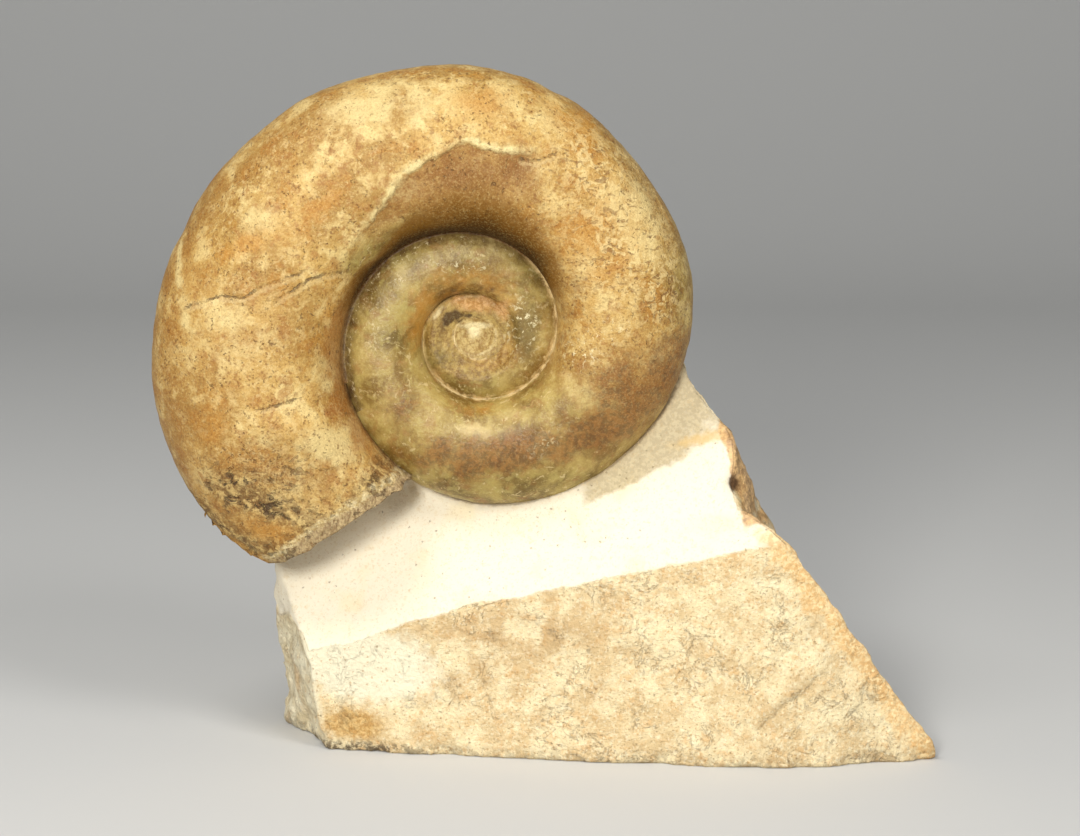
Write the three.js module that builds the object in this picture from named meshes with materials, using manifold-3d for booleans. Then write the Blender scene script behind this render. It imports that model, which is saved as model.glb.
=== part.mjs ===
// An ammonite fossil standing on the wedge of limestone it was found in.
// Millimetres, +Z up. The coil lies in an upright plane and faces -Y; the stone rests on its flat underside at z = 0.
import * as THREE from "three";
import { mergeVertices } from "three/addons/utils/BufferGeometryUtils.js";
import Module from "manifold-3d";

const wasm = await Module();
wasm.setup();

// The coil. Angles are in degrees, measured round its centre from the right (+X) over the top.
const COIL_HEIGHT = 117; // centre of the coil above the table
const VENTER_RADIUS = 60; // centre to the outer edge of the whorl, at angle 0
const TURN_GROWTH = 2.5; // a whorl is this many times the size of the one inside it
const SLOWING = 0.028 / 90; // the last turn grows a little less, per degree
const CHAMBER_ANGLE = 171; // from here the living chamber draws in
const CHAMBER_SLOWING = 0.25 / 90 ** 2;
const OVERLAP = 0.935; // where a whorl's inner edge lies, as a share of the radius of the whorl it wraps
const WHORL_WIDTH = 0.96; // half width of a whorl, as a share of its half height
const SHOULDER = 0.14; // how far the widest part sits towards the centre
const SQUARENESS = 2.25; // 2 is an ellipse; more is flatter on the flanks
const WHORL_SIDES = 20;
const BUD_RADIUS = 2.4; // the first chamber, at the centre
const SEAT_GAP = 0.3; // between the fossil and the stone that holds it

// The broken mouth, seen from the front: x and height from the coil's centre, from the outer edge inwards.
const MOUTH_LINE = [
  [-90, -49],
  [-73.6, -56],
  [-71, -58.3],
  [-65.8, -59.6],
  [-59.6, -64],
  [-51.8, -61.1],
  [-43.4, -56],
  [-35, -49.9],
  [-26.6, -44.8],
  [-19, -41.2],
  [-12, -40],
];
const MOUTH_TILT = 9; // the break leans back by this many degrees

// The stone's corners, in the coil's frame: x from the coil's centre, y from its middle plane, z from the table.
const FOOT = {
  leftFront: [-42, -13, 0],
  nearest: [88, -32, 0],
  tip: [132, -21, 0],
  rightBack: [66, 44, 0],
  leftBack: [-34, 47, 0],
  left: [-56, 20, 0],
};
const EDGE_LEFT = [-45, -11, 26]; // the edge where the weathered face turns into the cleaned one
const EDGE_RIGHT = [88, -27, 62];
const CONTACT = [4, -2, 67.5]; // the cleaned face meets the lowest point of the coil here
const STONE_CELL = 6; // spacing of the stone's surface points

const degrees = THREE.MathUtils.degToRad;

function venterRadius(angle) {
  const slowed = angle > 0 ? SLOWING * angle + CHAMBER_SLOWING * Math.max(0, angle - CHAMBER_ANGLE) ** 2 : 0;
  return VENTER_RADIUS * Math.exp((Math.log(TURN_GROWTH) / 360) * angle - slowed);
}

// A point of the whorl's section: turn 0 is the outer edge, 90 the front flank, 180 the inner edge, 270 the back.
function whorlPoint(angle, turn, margin) {
  const outer = venterRadius(angle);
  const inner = OVERLAP * venterRadius(angle - 360);
  const halfHeight = (outer - inner) / 2;
  const halfWidth = WHORL_WIDTH * halfHeight;
  const cosine = Math.cos(degrees(turn));
  const sine = Math.sin(degrees(turn));
  const power = 2 / SQUARENESS;
  const along = Math.sign(cosine) * Math.abs(cosine) ** power * (halfHeight + margin);
  const across = Math.sign(sine) * Math.abs(sine) ** power * (halfWidth + margin);
  const radius = (outer + inner) / 2 + along - SHOULDER * halfHeight * sine * sine;
  return [radius * Math.cos(degrees(angle)), -across, COIL_HEIGHT + radius * Math.sin(degrees(angle))];
}

// A manifold solid from a closed three.js geometry.
function solidOf(geometry) {
  const bare = new THREE.BufferGeometry();
  bare.setAttribute("position", geometry.getAttribute("position"));
  if (geometry.index) bare.setIndex(geometry.index);
  const merged = mergeVertices(bare, 1e-4);
  return new wasm.Manifold(
    new wasm.Mesh({
      numProp: 3,
      vertProperties: merged.attributes.position.array,
      triVerts: new Uint32Array(merged.index.array),
    }),
  );
}

function geometryOf(solid) {
  const mesh = solid.getMesh();
  const geometry = new THREE.BufferGeometry();
  geometry.setAttribute("position", new THREE.BufferAttribute(mesh.vertProperties, 3));
  geometry.setIndex(new THREE.BufferAttribute(mesh.triVerts, 1));
  geometry.computeVertexNormals();
  return geometry;
}

// A stretch of whorl between two angles, closed by a flat fan at each end.
function whorl(from, to, steps, margin) {
  const sides = WHORL_SIDES;
  const points = [];
  const faces = [];
  for (let i = 0; i <= steps; i++) {
    const angle = from + ((to - from) * i) / steps;
    for (let j = 0; j < sides; j++) points.push(...whorlPoint(angle, (360 * j) / sides, margin));
  }
  for (let i = 0; i < steps; i++)
    for (let j = 0; j < sides; j++) {
      const a = i * sides + j;
      const b = i * sides + ((j + 1) % sides);
      faces.push(a, a + sides, b, b, a + sides, b + sides);
    }
  const last = steps * sides;
  for (let j = 1; j < sides - 1; j++) faces.push(0, j, j + 1, last, last + j + 1, last + j);
  const geometry = new THREE.BufferGeometry();
  geometry.setAttribute("position", new THREE.Float32BufferAttribute(points, 3));
  geometry.setIndex(faces);
  return solidOf(geometry);
}

// The side of the mouth line that is missing from the specimen.
function missingPart(margin) {
  const outline = new THREE.Shape();
  outline.moveTo(-130, -49);
  for (const [x, height] of MOUTH_LINE) outline.lineTo(x, height);
  outline.lineTo(30, -43);
  outline.lineTo(30, -130);
  outline.lineTo(-130, -130);
  const depth = 120;
  const geometry = new THREE.ExtrudeGeometry(outline, { depth, bevelEnabled: false });
  geometry.deleteAttribute("normal");
  geometry.deleteAttribute("uv");
  const frontEdge = 20;
  geometry.translate(0, 0, frontEdge - depth / 2 - frontEdge);
  geometry.rotateX(Math.PI / 2);
  geometry.translate(0, frontEdge, 0);
  geometry.rotateX(degrees(MOUTH_TILT));
  geometry.translate(margin * 0.7, -frontEdge, COIL_HEIGHT - margin);
  return solidOf(geometry);
}

// The largest skin alone, which leaves out closed pockets and slivers between neighbouring turns.
function outerSkin(solid) {
  return solid.decompose().sort((a, b) => b.volume() - a.volume())[0];
}

// The whole coil: three turns and the bud, with the outermost cut along the broken mouth.
function coil(margin) {
  const stretches = [
    [-1200, -840, 16],
    [-840, -480, 24],
    [-480, -300, 16],
    [-300, -120, 20],
    [-120, 60, 26],
  ];
  const turns = stretches.map(([from, to, steps]) => whorl(from, to, steps, margin));
  const step = 180 / 26;
  const outermost = whorl(60 - step, 60 + 29 * step, 30, margin);
  turns.push(outermost.subtract(missingPart(margin)));
  const bud = new THREE.SphereGeometry(BUD_RADIUS + margin, 12, 8);
  bud.deleteAttribute("normal");
  bud.deleteAttribute("uv");
  bud.translate(0, 0, COIL_HEIGHT);
  return outerSkin(turns.reduce((whole, turn) => whole.add(turn), solidOf(bud)));
}

// How far a point lies outside the plane through three corners; below 0 on the side of the stone's middle.
const STONE_MIDDLE = [10, 12, 30];
function face(a, b, c) {
  const corners = [a, b, c].map((corner) => new THREE.Vector3(...corner));
  const plane = new THREE.Plane().setFromCoplanarPoints(...corners);
  const middle = new THREE.Vector3(...STONE_MIDDLE);
  if (plane.distanceToPoint(middle) > 0) plane.negate();
  return (point) => plane.distanceToPoint(point);
}

const weathered = face(FOOT.leftFront, FOOT.nearest, EDGE_LEFT);
const frontRight = face(FOOT.nearest, FOOT.tip, [86, -26.6, 62]);
const cleaned = face(EDGE_LEFT, EDGE_RIGHT, CONTACT);
const rough = [
  face(FOOT.leftFront, FOOT.left, [-51, -6, 44]),
  face(FOOT.left, FOOT.leftBack, [-51, 18, 56]),
  face(FOOT.leftBack, FOOT.rightBack, [10, 37, 92]),
  face(FOOT.rightBack, FOOT.tip, [52, 34, 92]),
  face([58, 4, 108], [-54, 4, 63], [20, 38, 93]),
];
const footSlope = face([127.9, -21, 3.5], [85.7, -25, 63], [81.8, 22, 55]);
const footLedge = face([85.7, -25, 63], [77.5, -20, 70], [77, 18, 67]);
const rustyWall = face([73.5, -18, 76], [70, -16, 92], [79, 2, 80]);
const rightSide = face([77.3, -8, 79.6], [72.5, -8, 90.9], [76.5, 30, 79.6]);
const shoulder = face([74, -8, 90], [58, 4, 107], [64, 24, 97]);
const underside = face([0, 0, -4], [10, 0, -4], [0, 10, -4]);
const hollow = { centre: new THREE.Vector3(75, -14, 77), radius: 6, depth: 4 };

// Lumps and dents of broken limestone: a sum of waves that run in all directions and get shorter and lower.
const WAVES = Array.from({ length: 14 }, (_, i) => {
  const rise = 1 - (2 * i + 1) / 14;
  const turn = i * 2.399963;
  const flat = Math.sqrt(1 - rise * rise);
  const length = 46 * 0.84 ** i;
  const way = new THREE.Vector3(flat * Math.cos(turn), flat * Math.sin(turn), rise);
  return { way: way.multiplyScalar((2 * Math.PI) / length), shift: i * 1.7, height: length * 0.017 };
});

function lumps(point) {
  return WAVES.reduce((sum, wave) => sum + wave.height * Math.sin(wave.way.dot(point) + wave.shift), 0);
}

// Below 0 inside the stone, and about the distance to its surface in millimetres.
function stoneField(point) {
  const foot = Math.max(footSlope(point), footLedge(point));
  const upper = Math.max(rustyWall(point), rightSide(point), shoulder(point));
  const front = Math.max(weathered(point), frontRight(point), cleaned(point));
  const sides = Math.max(...rough.map((side) => side(point)), Math.min(foot, upper));
  const behind = THREE.MathUtils.smoothstep(-front, 1, 9);
  const surface = Math.max(front, sides, underside(point));
  const dent = hollow.depth * Math.exp(-((point.distanceTo(hollow.centre) / hollow.radius) ** 2));
  return surface + dent + lumps(point) * (0.2 + 0.8 * behind);
}

// Where only two diagonal corners of a grid square lie inside, the other two move just inside as well,
// so that the net never touches itself along an edge.
function fillDiagonals(values, [nx, ny, nz], steps) {
  let filled = 0;
  for (let k = 0; k < nz - 1; k++)
    for (let j = 0; j < ny - 1; j++)
      for (let i = 0; i < nx - 1; i++)
        for (let axis = 0; axis < 3; axis++) {
          const base = i * steps[0] + j * steps[1] + k * steps[2];
          const [u, v] = [steps[(axis + 1) % 3], steps[(axis + 2) % 3]];
          const corners = [base, base + u, base + u + v, base + v];
          const [a, b, c, d] = corners.map((corner) => values[corner] < 0);
          if (a !== c || b !== d || a === b) continue;
          for (const corner of corners) values[corner] = Math.min(values[corner], -0.1);
          filled++;
        }
  if (filled) fillDiagonals(values, [nx, ny, nz], steps);
}

// The surface where a field is 0, as one closed net with a point in each cell that the surface crosses.
function netOf(field, low, high, cell) {
  const counts = [0, 1, 2].map((k) => Math.ceil((high[k] - low[k]) / cell) + 1);
  const [nx, ny, nz] = counts;
  const at = (i, j, k) => (k * ny + j) * nx + i;
  const values = new Float32Array(nx * ny * nz);
  const point = new THREE.Vector3();
  for (let k = 0; k < nz; k++)
    for (let j = 0; j < ny; j++)
      for (let i = 0; i < nx; i++) {
        point.set(low[0] + i * cell, low[1] + j * cell, low[2] + k * cell);
        values[at(i, j, k)] = field(point);
      }
  const steps = [at(1, 0, 0), at(0, 1, 0), at(0, 0, 1)];
  fillDiagonals(values, counts, steps);
  const points = [];
  const pointOf = new Map();
  for (let k = 0; k < nz - 1; k++)
    for (let j = 0; j < ny - 1; j++)
      for (let i = 0; i < nx - 1; i++) {
        const base = at(i, j, k);
        const sum = [0, 0, 0];
        let crossings = 0;
        for (let axis = 0; axis < 3; axis++)
          for (let corner = 0; corner < 4; corner++) {
            const [u, v] = [(axis + 1) % 3, (axis + 2) % 3];
            const offset = [0, 0, 0];
            offset[u] = corner & 1;
            offset[v] = corner >> 1;
            const from = base + offset[0] * steps[0] + offset[1] * steps[1] + offset[2] * steps[2];
            const a = values[from];
            const b = values[from + steps[axis]];
            if (a < 0 === b < 0) continue;
            offset[axis] = a / (a - b);
            offset.forEach((share, m) => (sum[m] += share));
            crossings++;
          }
        if (!crossings) continue;
        pointOf.set(base, points.length / 3);
        points.push(...[i, j, k].map((index, m) => low[m] + cell * (index + sum[m] / crossings)));
      }
  const faces = [];
  for (const base of pointOf.keys())
    for (let axis = 0; axis < 3; axis++) {
      const [u, v] = [(axis + 1) % 3, (axis + 2) % 3];
      const inside = values[base] < 0;
      if (inside === values[base + steps[axis]] < 0) continue;
      const [a, b, c, d] = [0, steps[u], steps[u] + steps[v], steps[v]].map((back) => pointOf.get(base - back));
      if (inside) faces.push(a, b, c, a, c, d);
      else faces.push(a, c, b, a, d, c);
    }
  const geometry = new THREE.BufferGeometry();
  geometry.setAttribute("position", new THREE.Float32BufferAttribute(points, 3));
  geometry.setIndex(faces);
  return geometry;
}

const below = new THREE.BoxGeometry(400, 400, 40);
below.deleteAttribute("normal");
below.deleteAttribute("uv");
below.translate(0, 0, -20);

const shell = coil(0);
const stone = solidOf(netOf(stoneField, [-70, -50, -10], [145, 65, 120], STONE_CELL))
  .subtract(solidOf(below))
  .subtract(coil(SEAT_GAP));

function pieceOf(name, solid, material) {
  const piece = new THREE.Mesh(geometryOf(solid), new THREE.MeshStandardMaterial(material));
  piece.name = name;
  return piece;
}

const fossil = new THREE.Group();
fossil.add(
  pieceOf("ammonite_shell", shell, { color: 0xc39a58, roughness: 0.45, metalness: 0 }),
  pieceOf("limestone_matrix", stone, { color: 0xe6d3a8, roughness: 0.9, metalness: 0 }),
);

// The frame's origin is under the middle of the specimen, on the table.
const middle = new THREE.Box3().setFromObject(fossil).getCenter(new THREE.Vector3());
for (const piece of fossil.children) piece.position.set(-middle.x, -middle.y, 0);

export default fossil;
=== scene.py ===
import math

import bpy
import numpy as np
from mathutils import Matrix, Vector


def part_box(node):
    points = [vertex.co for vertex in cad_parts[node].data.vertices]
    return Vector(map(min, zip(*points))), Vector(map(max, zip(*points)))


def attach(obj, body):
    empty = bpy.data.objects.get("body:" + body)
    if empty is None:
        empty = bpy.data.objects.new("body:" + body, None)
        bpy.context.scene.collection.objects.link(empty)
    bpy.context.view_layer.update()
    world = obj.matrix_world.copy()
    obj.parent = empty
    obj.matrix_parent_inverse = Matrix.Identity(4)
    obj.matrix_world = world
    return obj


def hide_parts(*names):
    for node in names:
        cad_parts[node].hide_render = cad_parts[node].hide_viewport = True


# An ammonite fossil on its limestone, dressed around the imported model.
# Shapes are worked out in millimetres in the coil's own frame, as the CAD source does: x from the coil's
# centre, y from its middle plane (the prepared side is -Y) and z from the table. A level is a height above
# or below the coil's centre. The finished shapes are moved to the row frame in metres.
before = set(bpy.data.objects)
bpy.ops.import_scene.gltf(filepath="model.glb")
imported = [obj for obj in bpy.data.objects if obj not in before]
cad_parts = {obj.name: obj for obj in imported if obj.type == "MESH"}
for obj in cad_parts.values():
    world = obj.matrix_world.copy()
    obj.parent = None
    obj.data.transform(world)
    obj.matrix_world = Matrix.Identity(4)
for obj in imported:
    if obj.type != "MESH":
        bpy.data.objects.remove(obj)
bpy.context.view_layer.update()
MM = 0.001
FAR = 1e9  # a distance beyond everything here

# The coil, with angles in degrees round its centre from the right (+X) over the top.
COIL_HEIGHT = 117.0
VENTER_RADIUS = 60.0
TURN_GROWTH = 2.5
SLOWING = 0.028 / 90
CHAMBER_ANGLE = 171.0
CHAMBER_SLOWING = 0.25 / 90**2
OVERLAP = 0.935
WHORL_WIDTH = 0.96
SHOULDER = 0.14
SQUARENESS = 2.25
FIRST_ANGLE = -1380.0
CORE_ANGLE = -506.0  # the small inner turns end here
WRAPPED_ANGLE = -146.0  # up to here a turn is wrapped by the next one
CHAMBER_START = 200.0  # from here the mesh is stretched to end at the broken mouth
NEAR_MOUTH = 190.0  # the mouth lies beyond this angle
MOUTH_TILT = math.radians(9)
MOUTH_FRONT = -20.0
MOUTH_LINE = [
    (-90, -49), (-73.6, -56), (-71, -58.3), (-65.8, -59.6), (-59.6, -64), (-51.8, -61.1),
    (-43.4, -56), (-35, -49.9), (-26.6, -44.8), (-19, -41.2), (-12, -40), (12, -40),
]

# The stone's corners and the planes through them.
STONE_MIDDLE = (10, 12, 30)
LEFT_FRONT, NEAREST, TIP = (-42, -13, 0), (88, -32, 0), (132, -21, 0)
RIGHT_BACK, LEFT_BACK, LEFT = (66, 44, 0), (-34, 47, 0), (-56, 20, 0)
EDGE_LEFT, EDGE_RIGHT, CONTACT = (-45, -11, 26), (88, -27, 62), (4, -2, 67.5)
RIDGE_LIFT = 1.8  # how far the cleaned face swells above its lower edge
STONE_CELL = 0.95


def smoothstep(value, low, high):
    share = np.clip((value - low) / (high - low), 0, 1)
    return share * share * (3 - 2 * share)


def fade(value, low, high):
    """1 up to the low value and 0 from the high one."""
    return 1 - smoothstep(value, low, high)


def bell(value, width):
    """1 where the value is 0, falling to 0 on both sides over about this width."""
    return np.exp(-((value / width) ** 2))


def value_noise(points, size, seed):
    """Smooth random values from -1 to 1 at these points, with features of about this size."""
    lattice = np.random.default_rng(seed).uniform(-1, 1, (64, 64, 64)).astype(np.float32)
    cells = points / size
    whole = np.floor(cells).astype(int)
    share = smoothstep(cells - whole, 0, 1)
    total = np.zeros(len(points))
    for corner in np.ndindex(2, 2, 2):
        weight = np.prod(np.where(corner, share, 1 - share), axis=1)
        x, y, z = ((whole + corner) % 64).T
        total += weight * lattice[x, y, z]
    return total


def fractal(points, size, octaves, seed):
    """Value noise with finer, lower noise added to it."""
    return sum(value_noise(points, size / 2**i, seed + i) / 2**i for i in range(octaves))


def blob(x, level, centre, radii, turn=0.0):
    """A soft spot, seen from the front: 1 at its middle and 0 outside it."""
    dx, dz = x - centre[0], level - centre[1]
    cosine, sine = math.cos(math.radians(turn)), math.sin(math.radians(turn))
    along, across = dx * cosine + dz * sine, dz * cosine - dx * sine
    return np.exp(-((along / radii[0]) ** 2) - (across / radii[1]) ** 2)


def spot_sum(x, level, rows):
    """The sum of soft spots, each with its strength, centre, two radii and, if it is tilted, its turn."""
    return sum(strength * blob(x, level, *place) for strength, *place in rows)


def line_distance(x, level, corners):
    """Distance to a line of corners, positive above it, and the share of the way along it."""
    nearest = np.full(len(x), FAR)
    signed, share = np.zeros(len(x)), np.zeros(len(x))
    lengths = [math.dist(a, b) for a, b in zip(corners, corners[1:])]
    done = 0.0
    for (ax, az), (bx, bz), length in zip(corners, corners[1:], lengths):
        dx, dz = (bx - ax) / length, (bz - az) / length
        px, pz = x - ax, level - az
        along = np.clip(px * dx + pz * dz, 0, length)
        distance = np.hypot(px - along * dx, pz - along * dz)
        closer = distance < nearest
        nearest = np.where(closer, distance, nearest)
        signed = np.where(closer, np.where(pz * dx - px * dz > 0, distance, -distance), signed)
        share = np.where(closer, (done + along) / sum(lengths), share)
        done += length
    return signed, share


def venter_radius(angle):
    late = np.maximum(0, angle - CHAMBER_ANGLE)
    slowed = np.where(angle > 0, SLOWING * angle + CHAMBER_SLOWING * late**2, 0)
    return VENTER_RADIUS * np.exp(math.log(TURN_GROWTH) / 360 * angle - slowed)


def section(angle):
    """The middle radius, half height and half width of the whorl at an angle."""
    outer, inner = venter_radius(angle), OVERLAP * venter_radius(angle - 360)
    half_height = (outer - inner) / 2
    return (outer + inner) / 2, half_height, WHORL_WIDTH * half_height


def section_point(angle, turn):
    """Radius and y of a point of the section. Turn 0 is outermost, 90 the front flank, 180 innermost."""
    middle, half_height, half_width = section(angle)
    cosine, sine = np.cos(np.radians(turn)), np.sin(np.radians(turn))
    power = 2 / SQUARENESS
    along = np.sign(cosine) * np.abs(cosine) ** power * half_height
    across = np.sign(sine) * np.abs(sine) ** power * half_width
    return middle + along - SHOULDER * half_height * sine**2, -across


def section_value(angle, radius, y):
    """Below 1 inside the whorl's section at an angle, and above 1 outside it."""
    middle, half_height, half_width = section(angle)
    wide = np.abs(y / half_width) ** SQUARENESS
    return np.abs((radius - middle) / half_height + SHOULDER * wide) ** SQUARENESS + wide


def meeting_turn(angles, start, stop, other):
    """The turn, from start towards stop, at which each section enters the one that many degrees away."""
    turns = np.linspace(start, stop, 361)
    radius, y = section_point(angles[:, None], turns[None, :])
    value = section_value(angles[:, None] + other, radius, y)
    first = np.argmax(value < 1, axis=1)
    rows = np.arange(len(angles))
    before, after = value[rows, first - 1], value[rows, first]
    return turns[first - 1] + (turns[first] - turns[first - 1]) * (before - 1) / (before - after)


def coil_points(angle, turn):
    radius, y = section_point(angle, turn)
    x = radius * np.cos(np.radians(angle))
    z = COIL_HEIGHT + radius * np.sin(np.radians(angle))
    return np.stack([x, y, z], axis=-1)


def mouth_height(x, y):
    """Height of the break above or below the coil's centre."""
    line_x, line_z = zip(*MOUTH_LINE)
    waves = [0.45 / (k + 1) * np.sin((0.9 + 1.3 * k) * x + (0.5 - 0.7 * k) * y + 2 * k) for k in range(4)]
    return np.interp(x, line_x, line_z) + sum(waves) + (y - MOUTH_FRONT) * math.tan(MOUTH_TILT)


def grid_quads(rows, columns, first=0):
    """Quads of a grid of points stored row by row."""
    index = first + np.arange(rows * columns).reshape(rows, columns)
    corners = index[:-1, :-1], index[1:, :-1], index[1:, 1:], index[:-1, 1:]
    return np.stack([c.ravel() for c in corners], axis=1)


def mesh_object(name, points, quads):
    """A smooth piece from points in the coil's frame."""
    mesh = bpy.data.meshes.new(name)
    mesh.from_pydata(to_row(points).tolist(), [], quads.tolist())
    mesh.validate()
    mesh.shade_smooth()
    piece = bpy.data.objects.new(name, mesh)
    bpy.context.scene.collection.objects.link(piece)
    return piece


def store(piece, name, values):
    attribute = piece.data.attributes.new(name, "FLOAT", "POINT")
    attribute.data.foreach_set("value", np.asarray(values, np.float32))


def stored(piece, name):
    values = np.empty(len(piece.data.vertices), np.float32)
    piece.data.attributes[name].data.foreach_get("value", values)
    return values.astype(float)


shell_low, shell_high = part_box("ammonite_shell")
COIL_RIGHT = 60.4  # how far the coil reaches to the right of its centre
ORIGIN = np.array([shell_high.x / MM - COIL_RIGHT, (shell_low.y + shell_high.y) / 2 / MM, 0])


def to_row(points):
    """From the coil's frame in millimetres to the row frame in metres."""
    return (points + ORIGIN) * MM


# The shell: a front and a back ribbon for the wrapped turns, and a whole tube for the outermost one.
FLANK = 22  # steps across a flank
VENTER = 46  # steps round the outer edge of the outermost turn
OUTER_STEP = 0.9  # degrees between rings
CORE_STEP = 1.8
CHAMBER_RINGS = 44  # from the start of the chamber to the mouth
MOUTH_SEARCH = 262.0  # the mouth lies before this angle
CAP = 26  # steps across the broken mouth
BUD_RADIUS = 1.6  # the first chamber, at the centre
BUD_RING = -700.0  # it has the colours of this angle of the coil


def flank_turns(angles):
    """Section turns across the front flank, from the seam with the inner whorl to the outer one's."""
    inner = meeting_turn(angles, 90, 180, -360)
    outer = meeting_turn(np.minimum(angles, -100), 90, 0, 360)
    shares = np.linspace(0, 1, FLANK + 1)
    return inner[:, None] + (outer - inner)[:, None] * shares[None, :]


def tube_turns(angles):
    front = flank_turns(angles)
    outer = front[:, -1:]
    shares = np.linspace(1, -1, VENTER + 1)[None, 1:-1]
    return np.hstack([front, outer * shares, -front[:, ::-1]])


def mouth_angles(turns):
    """The angle at which each line along the tube reaches the break."""
    angles = np.linspace(CHAMBER_START, MOUTH_SEARCH, 300)
    points = coil_points(angles[:, None], turns[None, :])
    above = points[..., 2] - COIL_HEIGHT - mouth_height(points[..., 0], points[..., 1])
    first = np.argmax(above < 0, axis=0)
    columns = np.arange(len(turns))
    before, after = above[first - 1, columns], above[first, columns]
    return angles[first - 1] + (angles[first] - angles[first - 1]) * before / (before - after)


def build_shell():
    """Points, quads and, for each point, its ring's angle and its share of the way across the flank."""
    parts, quads, angles_of, shares_of, count = [], [], [], [], 0

    def add_grid(points, angles, across):
        nonlocal count
        rows, columns = points.shape[:2]
        quads.append(grid_quads(rows, columns, count))
        parts.append(points.reshape(-1, 3))
        angles_of.append(np.broadcast_to(angles, (rows, columns)).ravel())
        shares_of.append(np.broadcast_to(across, (rows, columns)).ravel())
        count += rows * columns

    flank = np.linspace(0, 1, FLANK + 1)
    core = np.linspace(FIRST_ANGLE, CORE_ANGLE, round((CORE_ANGLE - FIRST_ANGLE) / CORE_STEP) + 1)
    wrapped = np.linspace(CORE_ANGLE, WRAPPED_ANGLE, round(360 / OUTER_STEP) + 1)
    for angles in (core, wrapped):
        turns = flank_turns(angles)
        add_grid(coil_points(angles[:, None], turns)[:, ::-1], angles[:, None], flank[::-1])
        add_grid(coil_points(angles[:, None], -turns), angles[:, None], flank)
    tube = np.arange(WRAPPED_ANGLE, CHAMBER_START + 1e-6, OUTER_STEP)
    turns = tube_turns(tube)
    round_venter = np.full(VENTER - 1, 1.0)
    across = np.concatenate([flank, round_venter, flank[::-1]])
    add_grid(coil_points(tube[:, None], turns)[:, ::-1], tube[:, None], across[::-1])
    last = turns[-1]
    start, stop = tube[-1], mouth_angles(last)
    shares = np.linspace(0, 1, CHAMBER_RINGS)[:, None]
    chamber = start + (stop - start)[None, :] * shares
    rim = coil_points(chamber, last[None, :])
    add_grid(rim[:, ::-1], chamber[:, ::-1], across[::-1])
    half = len(last) // 2
    front, back = rim[-1, : half + 1], rim[-1, ::-1][: half + 1]
    shares = np.linspace(0, 1, CAP)[:, None, None]
    cap = front[None] + (back - front)[None] * shares
    add_grid(cap[::-1], stop[None, : half + 1], across[: half + 1])
    fall = np.radians(np.linspace(0, 180, 17))[:, None]
    turn = np.radians(np.linspace(0, 360, 33))[None, :]
    bud = [np.sin(fall) * np.cos(turn), -np.cos(fall) + 0 * turn, np.sin(fall) * np.sin(turn)]
    bud = np.stack(bud, axis=-1)
    add_grid(bud * BUD_RADIUS + (0, 0, COIL_HEIGHT), BUD_RING, 0.5)
    return np.vstack(parts), np.vstack(quads), np.concatenate(angles_of), np.concatenate(shares_of)


def weld(piece, distance):
    bpy.context.view_layer.objects.active = piece
    modifier = piece.modifiers.new("weld", "WELD")
    modifier.merge_threshold = distance
    depsgraph = bpy.context.evaluated_depsgraph_get()
    welded = bpy.data.meshes.new_from_object(piece.evaluated_get(depsgraph))
    piece.modifiers.clear()
    old = piece.data
    piece.data = welded
    bpy.data.meshes.remove(old)
    welded.name = piece.name


def vertex_arrays(piece):
    """Places in millimetres in the coil's frame, and normals."""
    mesh = piece.data
    places = np.empty(len(mesh.vertices) * 3, np.float32)
    mesh.vertices.foreach_get("co", places)
    normals = np.empty(len(mesh.vertices) * 3, np.float32)
    mesh.vertex_normals.foreach_get("vector", normals)
    return places.reshape(-1, 3).astype(float) / MM - ORIGIN, normals.reshape(-1, 3).astype(float)


def move_vertices(piece, points):
    piece.data.vertices.foreach_set("co", to_row(points).astype(np.float32).ravel())
    piece.data.update()


# What the front of the coil shows, as x and level. The back has the same kinds of marks in other places.
SPALL_RIDGE = [
    (-38, 20), (-30, 31), (-24.8, 37.7), (-21.3, 42.6), (-17.5, 46.9), (-12.6, 50.1), (-6.7, 53.3),
    (-2.4, 55.4), (1.6, 54.4), (8.5, 52.3), (14.4, 52.3), (20.3, 52.8),
]
CRACKS = {
    "crack_long": [
        (-79, 9), (-75.9, 10.7), (-71.1, 12.1), (-67.9, 13.7), (-63.6, 13.1), (-60.9, 13.4),
        (-58.8, 15), (-55, 16.6), (-50.2, 18.5), (-44, 20.5),
    ],
    "crack_inner": [(-54, 11.5), (-51.9, 12.9), (-47.5, 15.5), (-44.3, 17.7), (-40.1, 19.3), (-34, 19.5)],
    "crack_grey": [(12.5, 50.2), (14, 49.7), (17, 49.4), (19.9, 50.4), (23.4, 51.7)],
    "crack_low": [(-59.1, -17.2), (-53.7, -16.4), (-46.9, -14.4)],
}
# A pale scar by the outer edge.
LEFT_LINE = [(-80.5, 26), (-80, 18), (-79, 10.7), (-77.2, 5.2), (-74.5, 0)]
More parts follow.
